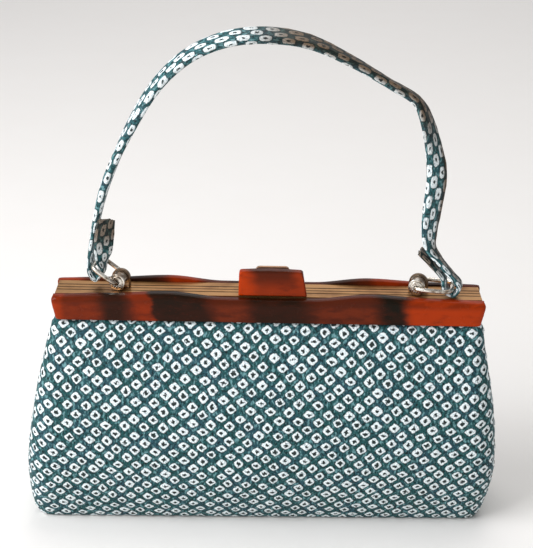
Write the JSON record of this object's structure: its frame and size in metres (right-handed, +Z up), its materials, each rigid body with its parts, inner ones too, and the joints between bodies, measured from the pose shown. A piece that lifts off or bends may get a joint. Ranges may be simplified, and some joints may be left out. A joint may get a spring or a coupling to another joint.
{
  "type": "silk frame handbag",
  "caption": "Soft dotted-silk handbag on a tortoise-look and brass frame, with a lever clasp and a standing cloth strap handle held by wire bails.",
  "frame": {"origin": "middle of the bag's box, on the floor", "axes": "+X along the frame to the right, +Y away from the front face, +Z up through the handle"},
  "size_m": [0.2504, 0.0688, 0.2661],
  "materials": {
    "silk": "matte crepe silk, dark teal with white dot rings",
    "tortoise": "polished, red-brown with dark blotches",
    "brass": "satin, a little dull",
    "lever_metal": "satin, warm grey",
    "silver": "polished, slightly dull"
  },
  "bodies": {
    "bag": {"pouch": "silk", "front_bar": "tortoise", "rear_bar": "tortoise", "front_channel": "brass", "rear_channel": "brass", "hinge_pin_left": "brass", "hinge_pin_right": "brass", "clasp_pin": "lever_metal", "handle_strap": "silk", "bail_left": "silver", "bail_right": "silver", "barrel_left": "silver", "barrel_right": "silver"},
    "clasp": {"clasp_block": "tortoise", "clasp_lever": "lever_metal"}
  },
  "joints": [
    {"name": "clasp_tilt", "type": "hinge", "parent": "bag", "child": "clasp", "pos_m": [0.0018, 0.0027, 0.1294], "axis": [-1, 0, 0], "range_deg": [0, 45]}
  ]
}
